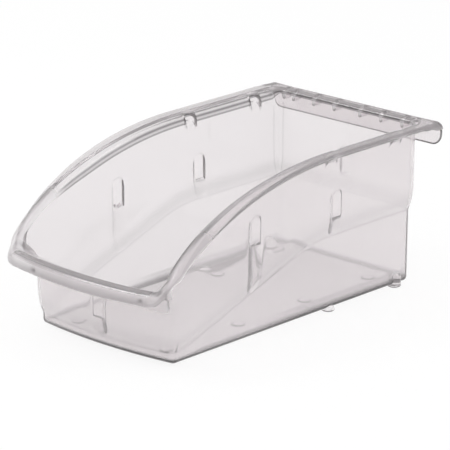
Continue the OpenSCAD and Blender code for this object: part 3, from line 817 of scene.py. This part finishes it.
# %% [markdown]
# ## Clear polycarbonate
# The plastic is moulded and polished, with a refractive index near 1.58. A thin wall takes little light, but
# at an edge light runs a long way inside the sheet, so edges look grey. Volume absorption gives just that,
# and grey lines of painted shade in the colour darken the bends and edges further. A little of the surface
# scatters light, which is the faint haze of a used mould. Shadow rays pass through a plain tint, because
# light that is bent twice would leave a black shadow on the paper.

# %% Material
# The second colour is the grey that the painted shade mixes into the base colour
CLEAR, DARK_PAINT = "#fbf8f9", "#5c585a"
EDGE_TINT, EDGE_DENSITY = "#8f898b", 45.0
SHADOW_TINT = "#e6e2e3"
GLOSS, FROST = 0.03, 0.4
CLARITY, INDEX = 0.84, 1.58


def linear(code):
    """sRGB hex colour to linear RGBA."""
    c = np.array([int(code[k:k + 2], 16) for k in (1, 3, 5)]) / 255
    c = np.where(c <= 0.04045, c / 12.92, ((c + 0.055) / 1.055) ** 2.4)
    return (*map(float, c), 1.0)


def add(tree, kind, inputs=None, **settings):
    """Adds a node, sets its properties, and sets or links its inputs: a socket is linked, a value is set."""
    item = tree.nodes.new(kind)
    for key, value in settings.items():
        setattr(item, key, value)
    for key, value in (inputs or {}).items():
        if isinstance(value, bpy.types.NodeSocket):
            tree.links.new(value, item.inputs[key])
        else:
            item.inputs[key].default_value = value
    return item


def empty_tree(owner):
    """Node tree of a material or world with its nodes removed."""
    owner.use_nodes = True
    owner.node_tree.nodes.clear()
    return owner.node_tree


def polycarbonate():
    """Clear moulded polycarbonate: gloss on the walls, frost on the lip, and shade painted into the colour as
    grey lines in the bends and along edges.
    """
    material = bpy.data.materials.new("clear_polycarbonate")
    tree = empty_tree(material)
    frost_mark = add(tree, "ShaderNodeAttribute", attribute_name="frost")
    shade_mark = add(tree, "ShaderNodeAttribute", attribute_name="painted_shade")
    rough = add(tree, "ShaderNodeMapRange", {
        "Value": frost_mark.outputs["Fac"], "To Min": GLOSS, "To Max": FROST})
    # Painted shade: the attribute mixes the base colour towards the grey
    colour = add(tree, "ShaderNodeMix", {
        "Factor": shade_mark.outputs["Fac"], "A": linear(CLEAR), "B": linear(DARK_PAINT)}, data_type="RGBA")
    surface = add(tree, "ShaderNodeBsdfPrincipled", {
        "Base Color": colour.outputs["Result"], "Transmission Weight": CLARITY, "IOR": INDEX,
        "Roughness": rough.outputs["Result"]})
    lets_through = add(tree, "ShaderNodeBsdfTransparent", {"Color": linear(SHADOW_TINT)})
    path = add(tree, "ShaderNodeLightPath")
    mixed = add(tree, "ShaderNodeMixShader",
                {0: path.outputs["Is Shadow Ray"], 1: surface.outputs[0], 2: lets_through.outputs[0]})
    inside = add(tree, "ShaderNodeVolumeAbsorption", {"Color": linear(EDGE_TINT), "Density": EDGE_DENSITY})
    add(tree, "ShaderNodeOutputMaterial", {"Surface": mixed.outputs[0], "Volume": inside.outputs[0]})
    return material


clear_bin.data.materials.clear()
clear_bin.data.materials.append(polycarbonate())
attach(clear_bin, "root")
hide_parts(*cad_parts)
print("material:", clear_bin.data.materials[0].name)


# %% [markdown]
# ## White paper
# The bin stands on white paper. More light would make the paper white, but the bin would wash out. So the
# paper is a real floor that takes the bin's shadow, and to the camera, in reflections and through the
# plastic, most of its white is given directly.

# %% Paper
PAPER, PAPER_SHARE, PAPER_HALF_M = "#f4f4f4", 0.85, 3.0
WHITE = "#ffffff"


def seen_directly(tree):
    """1 for rays from the camera, off gloss and through clear plastic, 0 for light that falls on things."""
    path = add(tree, "ShaderNodeLightPath")
    first = add(tree, "ShaderNodeMath", {0: path.outputs["Is Camera Ray"], 1: path.outputs["Is Glossy Ray"]},
                operation="MAXIMUM")
    both = add(tree, "ShaderNodeMath", {0: first.outputs[0], 1: path.outputs["Is Transmission Ray"]},
               operation="MAXIMUM")
    return both.outputs[0]


def white_paper():
    """Matt uncoated paper: no gloss, an even white, and a soft shadow where the bin keeps light off it."""
    material = bpy.data.materials.new("white_paper")
    tree = empty_tree(material)
    matt = add(tree, "ShaderNodeBsdfDiffuse", {"Color": linear(PAPER)})
    glow = add(tree, "ShaderNodeEmission", {"Color": linear(WHITE), "Strength": 1.0})
    share = add(tree, "ShaderNodeMath", {0: seen_directly(tree), 1: PAPER_SHARE}, operation="MULTIPLY")
    mixed = add(tree, "ShaderNodeMixShader", {0: share.outputs[0], 1: matt.outputs[0], 2: glow.outputs[0]})
    add(tree, "ShaderNodeOutputMaterial", {"Surface": mixed.outputs[0]})
    return material


corners = PAPER_HALF_M * np.array([[-1, -1, 0], [1, -1, 0], [1, 1, 0], [-1, 1, 0]], float)
paper = bpy.data.meshes.new("paper")
paper.from_pydata(corners.tolist(), [], [[0, 1, 2, 3]])
paper.materials.append(white_paper())
floor = bpy.data.objects.new("paper", paper)
bpy.context.collection.objects.link(floor)
print("paper:", 2 * PAPER_HALF_M, "m wide")

# %% [markdown]
# ## Lamps and room
# Clear plastic has hardly a colour of its own and shows the room. A white horizon keeps the walls light, and
# a dark ceiling gives the rim its grey lines. A picture of a studio could light it too, but a gradient by
# height is plain and needs no file. Light that falls on things comes evenly from all sides, with two large
# lamps for a little direction, and the camera itself sees plain white.

# %% Lamps and world
AIM = Vector((0, 0, 0.04))
LAMPS = [("key", (-0.6, -0.5, 1.1), 0.6, 6.0), ("fill", (0.9, 0.4, 0.9), 0.7, 3.0)]
CEILING, CEILING_FROM, CEILING_TO = 0.15, -0.02, 0.3
ROOM_LIGHT = 0.8


def softbox(name, place, size, power):
    """Square area lamp at a place in metres, aimed at the bin."""
    data = bpy.data.lights.new(name, "AREA")
    data.size = size
    data.energy = power
    lamp = bpy.data.objects.new(name, data)
    lamp.location = place
    lamp.rotation_mode = "QUATERNION"
    lamp.rotation_quaternion = (AIM - Vector(place)).to_track_quat("-Z", "Y")
    bpy.context.collection.objects.link(lamp)


for lamp in LAMPS:
    softbox(*lamp)

world = bpy.data.worlds.new("studio")
bpy.context.scene.world = world
tree = empty_tree(world)
direction = add(tree, "ShaderNodeTexCoord")
height = add(tree, "ShaderNodeSeparateXYZ", {"Vector": direction.outputs["Generated"]})
ceiling = add(tree, "ShaderNodeMapRange", {
    "Value": height.outputs["Z"], "From Min": CEILING_FROM, "From Max": CEILING_TO,
    "To Min": 1.0, "To Max": CEILING})
even = add(tree, "ShaderNodeBackground", {"Color": linear(WHITE), "Strength": ROOM_LIGHT})
graded = add(tree, "ShaderNodeBackground", {"Color": linear(WHITE), "Strength": ceiling.outputs["Result"]})
plain = add(tree, "ShaderNodeBackground", {"Color": linear(WHITE), "Strength": 1.0})
room = add(tree, "ShaderNodeMixShader", {0: seen_directly(tree), 1: even.outputs[0], 2: graded.outputs[0]})
path = add(tree, "ShaderNodeLightPath")
sky = add(tree, "ShaderNodeMixShader", {
    0: path.outputs["Is Camera Ray"], 1: room.outputs[0], 2: plain.outputs[0]})
add(tree, "ShaderNodeOutputWorld", {"Surface": sky.outputs[0]})
print("lamps:", len(LAMPS))

# %% [markdown]
# ## Render settings
# Light crosses many faces in a clear bin, so the number of bounces is raised.

# %% Finish
BOUNCES, GLOSSY_BOUNCES = 32, 16

scene = bpy.context.scene
scene.view_settings.view_transform = "Standard"
scene.cycles.max_bounces = BOUNCES
scene.cycles.transmission_bounces = BOUNCES
scene.cycles.glossy_bounces = GLOSSY_BOUNCES
scene.cycles.transparent_max_bounces = BOUNCES
scene.cycles.caustics_reflective = True
scene.cycles.caustics_refractive = True
